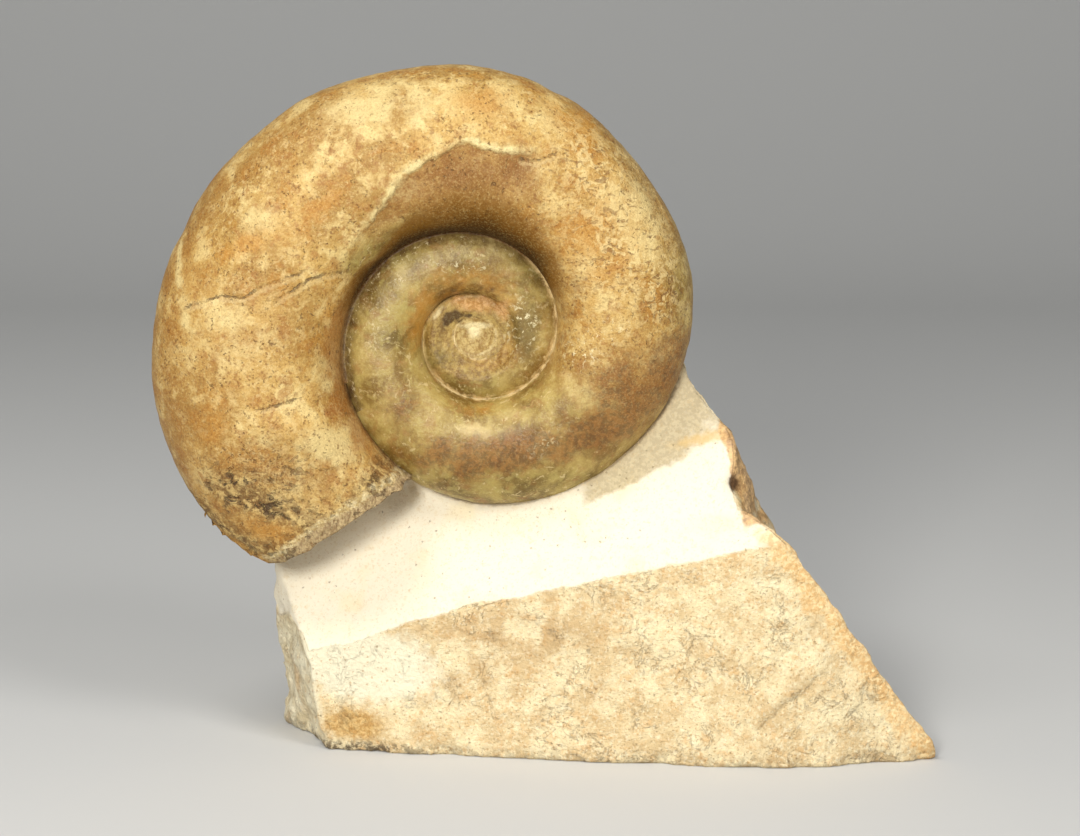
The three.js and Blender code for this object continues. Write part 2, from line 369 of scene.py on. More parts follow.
# Soft spots of each colour: a strength, a centre, two radii and, where it is tilted, a turn in degrees.
SHELL_SPOTS = {
    "olive": [(0.7, (57, 13), (4, 14)), (0.9, (4, -42), (34, 4)), (0.5, (44, 62), (6, 6))],
    "brown": [
        (1, (14, -31), (24, 6), 16), (0.9, (-8, -31), (15, 5)), (1, (43, -13), (11, 11)),
        (0.9, (0, 46), (17, 6), 8), (0.6, (36, -25), (8, 6), 40), (0.5, (-20, -18), (8, 8)),
        (0.6, (55, 0), (6, 9)), (0.6, (26, 8), (4, 16), -10),
    ],
    "rust": [
        (0.8, (33, 30), (12, 15), 15), (0.9, (2, 65), (9, 4)), (0.9, (-61, 27), (9, 3), 20),
        (0.7, (28, 58), (13, 5), -45), (1, (-55, -53), (14, 4), -20), (0.6, (-38, 8), (4, 14)),
        (0.6, (2, -20), (5, 2)), (0.8, (-40, 38), (9, 3), 50), (0.6, (-70, -20), (5, 9)),
        (0.5, (-66, -36), (6, 6)),
    ],
    # The cream spots along the top of the outer whorl are painted highlight; the rest are pale patches.
    "cream_and_highlight": [
        (0.8, (-58, 34), (7, 5), 30), (0.9, (-14, 64), (24, 5), 3), (0.6, (20, 60), (12, 4), -25),
        (0.8, (45, 32), (8, 14), 20), (0.7, (0, -25), (9, 3)), (0.7, (-62, 4), (12, 9)),
        (0.4, (0, 24.5), (15, 4)), (0.4, (-20, 19), (4, 2), 40), (0.3, (-29, 0), (4, 13)),
        (0.6, (-40, -8), (4, 8)), (0.7, (-38, -30), (7, 5), -30), (0.9, (18, -28), (5, 1.2), 45),
        (0.6, (-38.5, -41), (1.6, 1)), (0.5, (-24, 66), (12, 6), 20), (0.8, (38, 39), (6, 5), 45),
        (0.6, (-40, -26), (9, 5), -10), (0.5, (-60, -26), (8, 4)),
    ],
    "pink": [(1, (0.8, 8.8), (7.6, 2.5), -8), (0.8, (8, 6.5), (1.8, 2.8))],
    "pearl": [(1, (0.4, 2.2), (4.6, 1)), (1, (0, 0.2), (2, 1.5)), (0.7, (-10.4, 5.8), (3.6, 0.8), 55)],
    "glass": [(1, (14, 2.5), (5, 9)), (0.6, (-10, -6), (5, 4))],
    # The two long dark spots at the top of the core are painted shade under the whorl around it; the others
    # mark a dark spot.
    "dark": [
        (1.4, (-6.6, 4.2), (3, 1.9), 25), (0.9, (-0.3, 5), (2, 0.5)), (0.55, (-7, 12.6), (5, 1.2), 28),
        (0.6, (4, 13.4), (5, 1.1), -12),
    ],
    "crackled": [(1, (41, 26), (15, 19), 20), (0.8, (30, 50), (12, 8), -40), (0.6, (52, 12), (6, 10))],
    "flecked": [
        (0.9, (34, 1.5), (9, 3.4), 30), (0.6, (30, -4), (5, 3)), (0.5, (14, 3), (6, 7)),
        (0.5, (20, -28), (6, 2), 45), (0.8, (-2, 19.5), (9, 1.8)), (0.7, (-20, 17), (3, 2.4), 40),
        (0.5, (-27, 4), (2, 9)), (0.6, (13, 3), (4, 8)),
    ],
    "rough": [(0.5, (-50, -36), (14, 8), -15), (0.7, (-66, -39), (8, 6)), (1, (-57, -45), (13, 3.4), -18)],
    # Stains, with painted shade along the left outline and over the lower right.
    "stain_and_shade": [
        (0.6, (44, -12), (14, 16), 20), (0.9, (-77, -2), (13, 30)), (0.4, (-56, 2), (12, 14)),
        (0.5, (36, 26), (10, 12)),
    ],
}
# How far the painted shade and the brown of the steep inner side reach across the flank, by the angle.
WALL_ANGLES = (20, 60, 90, 116, 140)
WALL_REACH = (0.44, 0.58, 0.7, 0.46, 0.26)
# How high the grey strip of the broken mouth stands above the break.
RIM_X = (-60, -52, -43, -35, -26, -18)
RIM_HEIGHT = (0.3, 2.6, 4.6, 4.6, 3.8, 1.5)
WEAR = 0.92  # how far the innermost turns are worn down to one slope
WORN_SLOPE = 0.42  # how fast that slope rises outwards
SPALL_DEPTH = 0.8  # the step below the ridge where the outer layer has spalled off
LOBE_HEIGHT = 1.5  # the lobe below the short crack
FLAT_DEPTH = 1.4  # how far the outer edge is flattened at the upper right
# Low swellings and dents of the flank, as spots.
SHELL_LUMPS = [
    (0.5, (-58, 36), (9, 6), 40), (-0.6, (-70, -38), (7, 5)), (-0.5, (-56, -45), (10, 2.5), -18),
    (-0.5, (-6.4, 4.4), (2.4, 1.7), 25), (-0.3, (-0.3, 5.2), (1, 0.6)),
]

# How pale or dark the seam between two whorls is, by the angle of the inner one of them.
SEAM_ANGLES = (-1400, -1060, -1040, -940, -925, -785, -770, -690, -670, -600, -585, -525,
               -500, -490, -400, -385, -315, -300, -200, -130, 0)
SEAM_PALE = (0.2, 0.2, 0, 0, 0.7, 0.7, 0, 0, 0, 0, 0.6, 0.5, 0.2, 0.8, 0.8, 1, 1, 0, 0, 0, 0)
SEAM_DARK = (0, 0, 0.1, 0.1, 0, 0, 0, 0, 0.4, 0.4, 0, 0, 0, 0, 0, 0, 0.3, 0.9, 1, 1, 0.9)


def shell_marks(points, angles, shares):
    """Masks for the shell's colours, one value from 0 to 1 for each point."""
    x, y, z = points.T
    level = z - COIL_HEIGHT
    radius = np.hypot(x, level)
    softness = 0.3 + 0.03 * radius
    front = smoothstep(-y, -softness, softness)
    back = 1 - front
    wide, fine, finest = fractal(points, 20, 3, 11), fractal(points, 5, 3, 17), fractal(points, 1.8, 3, 19)
    around = (angles + 360) % 360
    outermost = smoothstep(angles, -40, -5)
    last_turn = smoothstep(angles, -190, -150)
    spots = {name: spot_sum(x, level, rows) for name, rows in SHELL_SPOTS.items()}
    band = bell(shares + 0.03 * fine - 0.24, 0.1)
    band *= smoothstep(around, 96, 114) * fade(around, 146, 156)
    olive = (1 - last_turn) * (0.8 + 0.3 * wide) + 0.8 * last_turn * (1 - outermost) + outermost * band
    # Painted shade on the steep inner walls, over their dark brown: on the top of the last turn and on the
    # turn inside it.
    top_wall_shade = fade((shares + 0.04 * fine) / np.interp(around, WALL_ANGLES, WALL_REACH), 0, 1)
    top_wall_shade *= smoothstep(around, 12, 55) * fade(around, 150, 178)
    inner_wall_shade = fade(shares + 0.1 * fine, 0, 0.4) * smoothstep(angles, -335, -300)
    inner_wall_shade *= fade(angles, -245, -205)
    # Painted shade on the left inner wall.
    left_wall_shade = smoothstep(around, 150, 172) * fade(around, 215, 240)
    left_wall_shade *= fade(shares + 0.1 * fine, 0.1, 0.3)
    second_turn = smoothstep(angles, -500, -440) * (1 - last_turn)
    second_turn *= fade(shares + 0.2 * fine + 0.1 * wide, 0.3, 0.72)
    rust = spots["rust"] + 0.75 * second_turn
    scar = bell(line_distance(x, level, LEFT_LINE)[0] + 0.6 * fine, 0.9) * (angles > 0)
    disc = fade(np.hypot(x - 0.6, level + 0.8) + 0.25 * fine, 5.4, 6.4)
    lower_arc = bell(radius + 0.3 * fine - 5.9, 0.5) * (level < 1.5)
    # Painted shade mixed with stain: darker by the outline at the upper left and over the lower left of the
    # last turn.
    by_venter = smoothstep(radius - venter_radius(angles), -13, -3) * smoothstep(around, 100, 150)
    stain_and_shade = smoothstep(-level, 14, 50) * smoothstep(angles, 150, 180) + 0.8 * by_venter * outermost
    meeting = np.where(shares < 0.5, angles - 360, angles)
    marks = {
        "olive": olive + front * spots["olive"],
        "umber_and_shade": outermost * top_wall_shade + 0.75 * inner_wall_shade,
        "wall": outermost * left_wall_shade,
        "brown": (front * spots["brown"] + back * smoothstep(wide, 0.1, 0.9)) * (1 + 0.6 * fine),
        "rust": front * rust * (1 + 0.6 * fine) + back * smoothstep(-wide, 0.3, 0.9),
        "cream_and_highlight": front * (spots["cream_and_highlight"] + 0.9 * scar) * (0.9 + 0.7 * fine),
        "core": (y < 0) * fade(radius + 0.8 * fine, 12, 14.5),
        "disc": front * disc,
        "pink": front * spots["pink"] * (1 + 0.5 * fine),
        "pearl": front * (0.5 * lower_arc * (1 + fine) + 0.9 * spots["pearl"]),
        "glass": front * spots["glass"],
        "dark": front * spots["dark"] * (1 + 1.1 * finest),
        "speckled": outermost * (0.8 + 0.5 * wide) + 0.12,
        "crackled": front * np.minimum(spots["crackled"], 1),
        "flecked": front * np.minimum(spots["flecked"], 1),
        "rough": front * np.minimum(spots["rough"], 1),
        "stain_and_shade": front * np.minimum(spots["stain_and_shade"] + stain_and_shade, 1),
        "seam_pale": front * np.interp(meeting, SEAM_ANGLES, SEAM_PALE),
        "seam_dark": np.where(y < 0, np.interp(meeting, SEAM_ANGLES, SEAM_DARK), 0.6),
    }
    return {name: np.clip(mark, 0, 1) for name, mark in marks.items()}


def build_coil():
    points, quads, angles, shares = build_shell()
    coil = mesh_object("fossil_coil", points, quads)
    half_height = section(angles)[1]
    from_seam = np.minimum(shares, np.where(angles < WRAPPED_ANGLE, 1 - shares, 1))
    store(coil, "seam", from_seam * half_height * 1.3)
    store(coil, "line_width", np.clip(half_height / 6, 0.15, 1))
    store(coil, "ring", angles)
    for name, values in shell_marks(points, angles, shares).items():
        store(coil, name, values)
    x, y, level = points[:, 0], points[:, 1], points[:, 2] - COIL_HEIGHT
    signed, along = line_distance(x, level, SPALL_RIDGE)
    ends = smoothstep(along, 0, 0.35) * fade(along, 0.9, 1)
    store(coil, "ridge", np.clip(signed, -18, 18))
    store(coil, "ridge_ends", ends * (y < -5) * (angles > 0))
    for name, corners in CRACKS.items():
        signed, along = line_distance(x, level, corners)
        ends = smoothstep(along, 0, 0.06) * fade(along, 0.94, 1)
        store(coil, name, np.clip(signed, -6, 6))
        store(coil, name + "_ends", ends * (y < -3) * (angles > -100))
    weld(coil, 0.01 * MM)
    return coil


def relief_of_coil(coil):
    """Lumps, the spalled step, the flattened outer edge, the rough mouth and the worn innermost turns."""
    places, normals = vertex_arrays(coil)
    x, y, z = places.T
    level = z - COIL_HEIGHT
    radius = np.hypot(x, level)
    ring, core = stored(coil, "ring"), stored(coil, "core")
    to_venter = radius - venter_radius(ring)
    facing = smoothstep(-y, 2, 8)
    size = smoothstep(radius, 4, 50)
    relief = size * (0.42 * fractal(places, 24, 2, 3) + 0.16 * fractal(places, 7, 2, 5))
    relief += (0.03 + 0.07 * size) * fractal(places, 2.2, 2, 8)

    below_break = level - mouth_height(x, y)
    near_mouth = fade(below_break + 3 * value_noise(places, 7, 31), 2, 17) * (ring > 150)
    rough = np.maximum(near_mouth, 0.8 * stored(coil, "rough"))
    crumbs = 0.55 * fractal(places, 5, 3, 23) + 0.3 * fractal(places, 1.8, 2, 27)
    relief += rough * (1 - 0.7 * smoothstep(to_venter, -5, -1)) * crumbs
    relief += rough * (0.5 * value_noise(places, 9, 29) - 0.35)

    ridge = stored(coil, "ridge")
    spalled = smoothstep(-ridge, -2, 3) * fade(-ridge, 9, 16)
    relief += stored(coil, "ridge_ends") * (0.5 * bell(ridge, 3) - SPALL_DEPTH * spalled)
    lobe = blob(x, level, (-46, -24), (11, 5.5), -12) * smoothstep(-stored(coil, "crack_low"), -0.5, 1.5)
    relief += facing * (LOBE_HEIGHT * lobe + spot_sum(x, level, SHELL_LUMPS))
    flattened = FLAT_DEPTH * bell(ring - 44, 17) + 0.5 * bell(ring - 72, 3) + 0.6 * bell(ring - 160, 3)
    relief -= smoothstep(to_venter, -7, -1) * (ring > 0) * flattened
    relief += core * (0.16 * fractal(places, 2.4, 3, 9) + 0.1)
    relief *= smoothstep(stored(coil, "seam") / stored(coil, "line_width"), -0.5, 2.0)
    places += normals * relief[:, None]

    worn = core * fade(radius, 10.5, 13) * WEAR
    bump = 0.8 * bell(radius, 1.7) + 0.35 * bell(radius - 5.6, 0.7) * (z < COIL_HEIGHT)
    worn_level = -WORN_SLOPE * radius - bump + 0.22 * fractal(places, 2.6, 3, 37)
    places[:, 1] += worn * (worn_level - places[:, 1])
    move_vertices(coil, places)

    above_strip = below_break + 1.2 * fractal(places, 4, 2, 33) - np.interp(x, RIM_X, RIM_HEIGHT)
    mouth = ring > NEAR_MOUTH
    store(coil, "broken", near_mouth)
    store(coil, "rim", fade(above_strip, -0.6, 0.8) * smoothstep(x, -60, -54) * mouth)
    store(coil, "rim_pale", bell(above_strip - 1.2, 1.3) * smoothstep(x, -62, -56) * mouth)
    store(coil, "rim_orange", fade(below_break, 1, 5) * fade(x, -60, -52) * mouth)


coil = build_coil()
relief_of_coil(coil)


# The stone: the planes of the CAD source, with the broken and weathered detail that the solid leaves out.
def plane(a, b, c):
    """The distance outside the plane through three corners, as a function of points."""
    a, b, c = (np.array(corner, float) for corner in (a, b, c))
    normal = np.cross(b - a, c - a)
    normal /= np.linalg.norm(normal)
    if (np.array(STONE_MIDDLE) - a) @ normal > 0:
        normal = -normal
    return lambda points: (points - a) @ normal


weathered = plane(LEFT_FRONT, NEAREST, EDGE_LEFT)
front_right = plane(NEAREST, TIP, (86, -26.6, 62))
cleaned = plane(EDGE_LEFT, EDGE_RIGHT, CONTACT)
rough_faces = [
    plane(LEFT_FRONT, LEFT, (-51, -6, 44)),
    plane(LEFT, LEFT_BACK, (-51, 18, 56)),
    plane(LEFT_BACK, RIGHT_BACK, (10, 37, 92)),
    plane(RIGHT_BACK, TIP, (52, 34, 92)),
    plane((58, 4, 108), (-54, 4, 63), (20, 38, 93)),
]
foot_slope = plane((127.9, -21, 3.5), (85.7, -25, 63), (81.8, 22, 55))
foot_ledge = plane((85.7, -25, 63), (77.5, -20, 70), (77, 18, 67))
rusty_wall = plane((73.5, -18, 76), (70, -16, 92), (79, 2, 80))
right_side = plane((77.3, -8, 79.6), (72.5, -8, 90.9), (76.5, 30, 79.6))
shoulder = plane((74, -8, 90), (58, 4, 107), (64, 24, 97))
HOLLOW, HOLLOW_RADIUS, HOLLOW_DEPTH = (75, -15, 77), 5.0, 4.0
BEVEL = 7.0  # width of the worn edge between the two lower front faces
FILLET = 9.0  # how far the stone's rise towards the coil reaches
LAST_ANGLE = 256.0  # nothing is left of the coil beyond this angle


def shell_distance(points):
    """About how far a point is outside the coil."""
    x, y, z = points.T
    turn = np.degrees(np.arctan2(z - COIL_HEIGHT, x))
    radius = np.hypot(x, z - COIL_HEIGHT)
    nearest = np.full(len(points), FAR)
    for extra in (0, 360):
        angle = turn + extra
        _, half_height, half_width = section(angle)
        gauge = section_value(angle, radius, y) ** (1 / SQUARENESS)
        distance = (gauge - 1) * np.minimum(half_height, half_width)
        missing = mouth_height(x, y) - (z - COIL_HEIGHT)
        if extra:
            distance = np.maximum(distance, np.where(angle > NEAR_MOUTH, missing, -FAR))
            distance = np.where(angle > LAST_ANGLE, FAR, distance)
        nearest = np.minimum(nearest, distance)
    return nearest


def swollen(points):
    """The cleaned face, which swells a little above its lower edge."""
    swell = fade(-weathered(points), 0, 9) * (0.3 + 0.7 * smoothstep(points[:, 0], -38, -12))
    return cleaned(points) - RIDGE_LIFT * swell


def stone_field(points):
    foot = np.maximum(foot_slope(points), foot_ledge(points))
    upper = np.maximum.reduce([rusty_wall(points), right_side(points), shoulder(points)])
    below, turned = weathered(points), front_right(points)
    bevel = np.maximum(0, 1 - np.abs(below - turned) / BEVEL)
    front = np.maximum(np.maximum(below, turned) + BEVEL / 4 * bevel**2, swollen(points))
    sides = np.maximum.reduce([face(points) for face in rough_faces] + [np.minimum(foot, upper)])
    return front, sides


def net_of(values, low, cell):
    """Points and quads of the closed surface where a grid of values is 0."""
    inside = values < 0
    shape = np.array(values.shape) - 1
    total = np.zeros((*shape, 3), np.float32)
    crossings = np.zeros(shape, np.int16)
    for axis in range(3):
        others = [k for k in range(3) if k != axis]
        for corner in np.ndindex(2, 2):
            near = [slice(None, -1)] * 3
            for k, offset in zip(others, corner):
                near[k] = slice(offset, offset + shape[k])
            far = list(near)
            far[axis] = slice(1, None)
            a, b = values[tuple(near)], values[tuple(far)]
            crossed = inside[tuple(near)] != inside[tuple(far)]
            share = np.where(crossed, a / np.where(crossed, a - b, 1), 0)
            total[..., axis] += share
            for k, offset in zip(others, corner):
                total[..., k] += offset * crossed
            crossings += crossed
    used = np.argwhere(crossings > 0)
    where = tuple(used.T)
    points = low + cell * (used + total[where] / crossings[where][:, None])
    index = np.full(shape, -1)
    index[where] = np.arange(len(used))
    quads = []
    for axis in range(3):
        u, v = (axis + 1) % 3, (axis + 2) % 3
        near = [slice(1, -1)] * 3
        near[axis] = slice(None, -1)
        far = list(near)
        far[axis] = slice(1, None)
        crossed = np.argwhere(inside[tuple(near)] != inside[tuple(far)])
        crossed += [0 if k == axis else 1 for k in range(3)]
        step_u, step_v = np.eye(3, dtype=int)[u], np.eye(3, dtype=int)[v]
        corners = [crossed, crossed - step_u, crossed - step_u - step_v, crossed - step_v]
        faces = np.stack([index[tuple(corner.T)] for corner in corners], axis=1)
        outward = inside[tuple(crossed.T)]
        quads.append(np.where(outward[:, None], faces, faces[:, ::-1]))
    return points, np.vstack(quads)


def build_stone():
    low, high = np.array([-64.0, -42.0, -2.85]), np.array([139.0, 54.0, 113.0])
    counts = np.ceil((high - low) / STONE_CELL).astype(int)
    axes = [low[k] + STONE_CELL * np.arange(counts[k]) for k in range(3)]
    grid = np.stack(np.meshgrid(*axes, indexing="ij"), axis=-1).reshape(-1, 3)
    front, sides = stone_field(grid)
    values = np.maximum.reduce([front, sides, -grid[:, 2]])
    band = np.flatnonzero(np.abs(np.maximum(front, sides)) < 8)
    points, front, sides = grid[band], front[band], sides[band]
    behind = smoothstep(-front, 0.5, 7)
    z = points[:, 2]
    right = smoothstep(points[:, 0], 45, 70)
    broken = (1.5 - 0.9 * right) * fractal(points, 16, 3, 41) + 0.8 * right
    ledges = (1.3 - 0.7 * right) * np.abs(value_noise(points * [1, 1, 2.2], 9, 47))
    surface = np.maximum(front, sides) + behind * (broken + ledges - 0.2)
    surface += 1.2 * right * smoothstep(z, 64, 70) + (1 - behind) * 0.4 * fractal(points, 26, 2, 53)
    surface += 0.25 * fractal(points, 4.5, 2, 57) * (0.4 + behind)
    chipped = np.maximum(0, fractal(points * [1, 1, 0.5], 7, 3, 59) + 0.1)
    surface += 1.6 * chipped * fade(z, 0, 5)
    surface += HOLLOW_DEPTH * bell(np.linalg.norm(points - HOLLOW, axis=1), HOLLOW_RADIUS)
    near_shell = shell_distance(points)
    fillet = np.maximum(0, FILLET - np.abs(surface - near_shell - 1)) / FILLET
    surface -= FILLET / 4 * fillet**2 * (near_shell > -3)
    values[band] = np.maximum(surface, -z)
    return net_of(values.reshape(*counts).astype(np.float32), low, STONE_CELL)


# What the front of the stone shows, as x and height in millimetres.
STONE_CRACKS = {
    "crack_right": [
        (77.5, 10.2), (81.1, 14.1), (85.9, 18.4), (89.5, 20.4), (92.8, 23.5), (96.5, 26.8), (99.8, 27.2),
    ],
    "crack_tip": [(101, 13), (104.5, 15.2), (107.3, 18.4), (108.1, 22.5), (107.5, 26.7)],
}
STONE_SPOTS = {
    "patch": [(1.4, (-34, 8), (8, 4.5), -8)],
    "cream_left": [(1.8, (-31, 25), (18, 9), -6)],
    "low": [(1, (-32, 1), (14, 6))],
    "drab": [(1, (8, 32), (32, 12), 14)],
    "tinted": [(1, (64, 88), (9, 1.8), 12), (1, (74, 74), (2, 5))],
    "hole": [(1.4, (72.4, 76.4), (1.5, 2.6), 25)],
}
# The lower edge of the grey zone beside the shell, and the left edge of the crust above the ledge.
SHADE_X = (20, 30.2, 46, 59.9, 68.2, 72.3)
SHADE_Z = (66, 69.6, 76.8, 83.8, 89.3, 90.3)
CRUST_Z, CRUST_X = (72, 79, 84, 91), (74, 70.8, 70, 67.8)
# The right slope, from its top to its foot, as x and height.
SLOPE_TOP, SLOPE_FOOT = (85.7, 63), (127.9, 3.5)


def stone_marks(points, normals):
    """Masks for the stone's colours, one value for each point."""
    x, y, z = points.T
    front, sides = stone_field(points)
    fine = fractal(points, 3, 3, 67)
    facing = smoothstep(-normals[:, 1], 0.2, 0.5)
    spots = {name: spot_sum(x, z, rows) for name, rows in STONE_SPOTS.items()}
    near_shell = shell_distance(points)
    upper_left = smoothstep(z + 3 * fractal(points, 8, 2, 65), 30, 38)
    upper_left *= fade(x, -45, -38) * smoothstep(-y, -22, -8)
    side = smoothstep(sides - front, -1.3, 0.6) * (1 - upper_left)
    edge = swollen(points) - weathered(points) + 0.35 * fractal(points, 14, 3, 61) - 0.5
    uneven = z + 4 * fractal(points, 9, 3, 81)
    fading = 0.3 * np.maximum(0, y + 2 * (uneven - z))
    from_crust = x - np.interp(z, CRUST_Z, CRUST_X) - 0.9 * fractal(points, 5, 2, 63) - fading
    steepness = (SLOPE_FOOT[0] - SLOPE_TOP[0]) / (SLOPE_TOP[1] - SLOPE_FOOT[1])
    from_slope = x - SLOPE_TOP[0] - steepness * (SLOPE_TOP[1] - z) + 2.6 * fine - fading
    shade_line = np.interp(x, SHADE_X, SHADE_Z) + 0.8 * fine + 1.2 * fractal(points, 7, 2, 69)
    shaded_right = smoothstep(z - shade_line, -1.8, 1.6) * smoothstep(x, 25, 36)
    shaded_right *= 1 - 0.35 * smoothstep(near_shell, 3, 14)
    below_mouth = fade(near_shell + 1.4 * fractal(points, 5, 3, 77), 4.5, 6)
    below_mouth *= fade(x, -20, -8)
    marks = {
        "side": side,
        "crust": smoothstep(from_crust, -0.6, 1) * smoothstep(uneven, 64, 70) * fade(uneven, 89, 96),
        "slope": smoothstep(from_slope, -10, -3) * fade(z, 62, 70) * (y < 30),
        "patch": spots["patch"] * facing,
        "cream_left": spots["cream_left"] * facing,
        "low": fade(z, 1.6, 4.4) * np.minimum(0.35 + spots["low"], 1),
        "shaded": (shaded_right + 0.5 * below_mouth * facing) * (1 - side),
        "drab": np.clip(spots["drab"] + 0.5 * fine, 0, 1) * facing,
        "tinted": spots["tinted"],
        "hole": np.minimum(spots["hole"], 1) * (y < 0),
    }
    marks = {name: np.clip(mark, 0, 1) for name, mark in marks.items()}
    marks["edge"] = np.clip(edge, -12, 12)
    marks["near_shell"] = np.clip(near_shell, -2, 20)
    for name, corners in STONE_CRACKS.items():
        signed, along = line_distance(x, z, corners)
        marks[name] = np.clip(signed + 0.9 * fractal(points, 3.5, 3, 79), -10, 10)
        marks[name + "_ends"] = smoothstep(along, 0, 0.1) * fade(along, 0.85, 1) * facing
    return marks


def relief_of_stone(stone):
    """Stores the stone's masks and adds its finest relief: crumbs, the lips of the cracks and the hole."""
    points, normals = vertex_arrays(stone)
    marks = stone_marks(points, normals)
    for name, values in marks.items():
        store(stone, name, values)
    relief = 0.05 * fractal(points, 3, 3, 67)
    for name in STONE_CRACKS:
        signed = marks[name]
        raised = smoothstep(signed, 0, 1) * fade(signed, 3, 9)
        relief += marks[name + "_ends"] * (0.5 * raised - 0.25 * bell(signed, 0.6))
    crumbs = 0.3 * fractal(points, 3.2, 3, 71) + 0.5 * fractal(points, 12, 2, 75) - 0.3
    relief += smoothstep(-marks["edge"], -0.3, 0.5) * (1 - marks["side"]) * crumbs
    relief += 0.5 * marks["side"] * fractal(points, 4, 3, 73) - 1.2 * marks["hole"]
    relief *= smoothstep(points[:, 2], 0.0, 0.8)
    move_vertices(stone, points + normals * relief[:, None])


stone = mesh_object("limestone", *build_stone())
relief_of_stone(stone)


# Materials. Colours are given as they look on a screen, from 0 to 255.
def colour(red, green, blue):
    shares = (red / 255, green / 255, blue / 255)
    linear = [c / 12.92 if c <= 0.04045 else ((c + 0.055) / 1.055) ** 2.4 for c in shares]
    return (*linear, 1.0)


class Shader:
    """A material and short calls that add nodes to it. A value is a number, a colour or a node's output."""

    def __init__(self, name, piece=None, softness=0.0):
        self.material = bpy.data.materials.new(name)
        self.material.use_nodes = True
        self.tree = self.material.node_tree
        self.surface = self.tree.nodes["Principled BSDF"]
        scaled = self.add("ShaderNodeVectorMath", operation="SCALE")
        scaled.inputs["Scale"].default_value = 1 / MM
        place = self.add("ShaderNodeTexCoord")
        self.tree.links.new(place.outputs["Object"], scaled.inputs[0])
        self.place = scaled.outputs[0]
        masks = [mask.name for mask in piece.data.attributes if mask.data_type == "FLOAT"] if piece else []
        self.mark = {mask: self.attribute(mask) for mask in masks}
        self.softness = softness
        self.ragged = self.base = self.height = 0.0

    def add(self, kind, **settings):
        node = self.tree.nodes.new(kind)
        for key, value in settings.items():
            setattr(node, key, value)
        return node

    def put(self, socket, value):
        if isinstance(value, bpy.types.NodeSocket):
            self.tree.links.new(value, socket)
        else:
            socket.default_value = colour(*value) if isinstance(value, tuple) else value

    def math(self, operation, *values, clamp=False):
        node = self.add("ShaderNodeMath", operation=operation, use_clamp=clamp)
        for socket, value in zip(node.inputs, values):
            self.put(socket, value)
        return node.outputs[0]

    def times(self, first, second):
        return self.math("MULTIPLY", first, second)

    def plus(self, first, second):
        return self.math("ADD", first, second)

    def minus(self, first, second):
        return self.math("SUBTRACT", first, second)

    def stretch(self, *factors):
        """Places for a pattern that is squeezed by these factors along x, y and z."""
        node = self.add("ShaderNodeVectorMath", operation="MULTIPLY")
        self.put(node.inputs[0], self.place)
        node.inputs[1].default_value = factors
        return node.outputs[0]

    def attribute(self, name):
        return self.add("ShaderNodeAttribute", attribute_name=name).outputs["Fac"]

    def noise(self, size, detail=3.0, roughness=0.55, distortion=0.0, place=None, centred=False):
        """Noise with features of this size in millimetres, from 0 to 1, or about 0 if centred."""
        node = self.add("ShaderNodeTexNoise")
        self.put(node.inputs["Vector"], place or self.place)
        settings = {"Scale": 1 / size, "Detail": detail, "Roughness": roughness, "Distortion": distortion}
        for key, value in settings.items():
            node.inputs[key].default_value = value
        return self.minus(node.outputs["Fac"], 0.5) if centred else node.outputs["Fac"]

    def cells(self, size, place=None):
        """Distance in millimetres to the nearest of many scattered points, and a random value for each."""
        node = self.add("ShaderNodeTexVoronoi")
        self.put(node.inputs["Vector"], place or self.place)
        node.inputs["Scale"].default_value = 1 / size
        split = self.add("ShaderNodeSeparateColor")
        self.put(split.inputs[0], node.outputs["Color"])
        return self.times(node.outputs["Distance"], size), split.outputs[0]

    def step(self, value, low, high, start=0.0, end=1.0):
        """A soft step from start to end as the value goes from low to high."""
        node = self.add("ShaderNodeMapRange", interpolation_type="SMOOTHSTEP", clamp=True)
        for socket, number in zip(node.inputs, (value, low, high, start, end)):
            self.put(socket, number)
        return node.outputs[0]

    def mix(self, share, first, second):
        node = self.add("ShaderNodeMix", data_type="RGBA", clamp_factor=True)
        self.put(node.inputs["Factor"], share)
        self.put(node.inputs[6], first)
        self.put(node.inputs[7], second)
        return node.outputs[2]

    def dots(self, size, radius, share, place=None):
        """Scattered dots: 1 in a dot. The share is how many of the points have one."""
        distance, chance = self.cells(size, place)
        ragged = self.plus(distance, self.noise(0.35, 2, centred=True))
        dot = self.step(ragged, radius * 1.25, radius * 0.75)
        return self.times(dot, self.step(chance, share, share - 0.05))

    def masked(self, name, amount):
        """A mark with a ragged edge."""
        mark = self.mark[name]
        shifted = self.plus(mark, self.times(self.ragged, self.step(mark, 0.02, 0.3)))
        return self.times(self.step(shifted, self.softness, 1 - self.softness), amount)

    def paint(self, share, over):
        """Lays a colour over the base colour, as far as the share says."""
        self.base = self.mix(share, self.base, over)

    def swell(self, mask, amount):
        self.height = self.plus(self.height, self.times(mask, amount))

    def carve(self, mask, amount):
        self.height = self.minus(self.height, self.times(mask, amount))

    def finish(self, roughness):
        """Sets the colour, the roughness and a bump whose height is in millimetres."""
        bump = self.add("ShaderNodeBump")
        bump.inputs["Distance"].default_value = MM
        self.put(bump.inputs["Height"], self.height)
        self.put(self.surface.inputs["Base Color"], self.base)
        self.put(self.surface.inputs["Roughness"], roughness)
        self.put(self.surface.inputs["Normal"], bump.outputs[0])
        return self.material


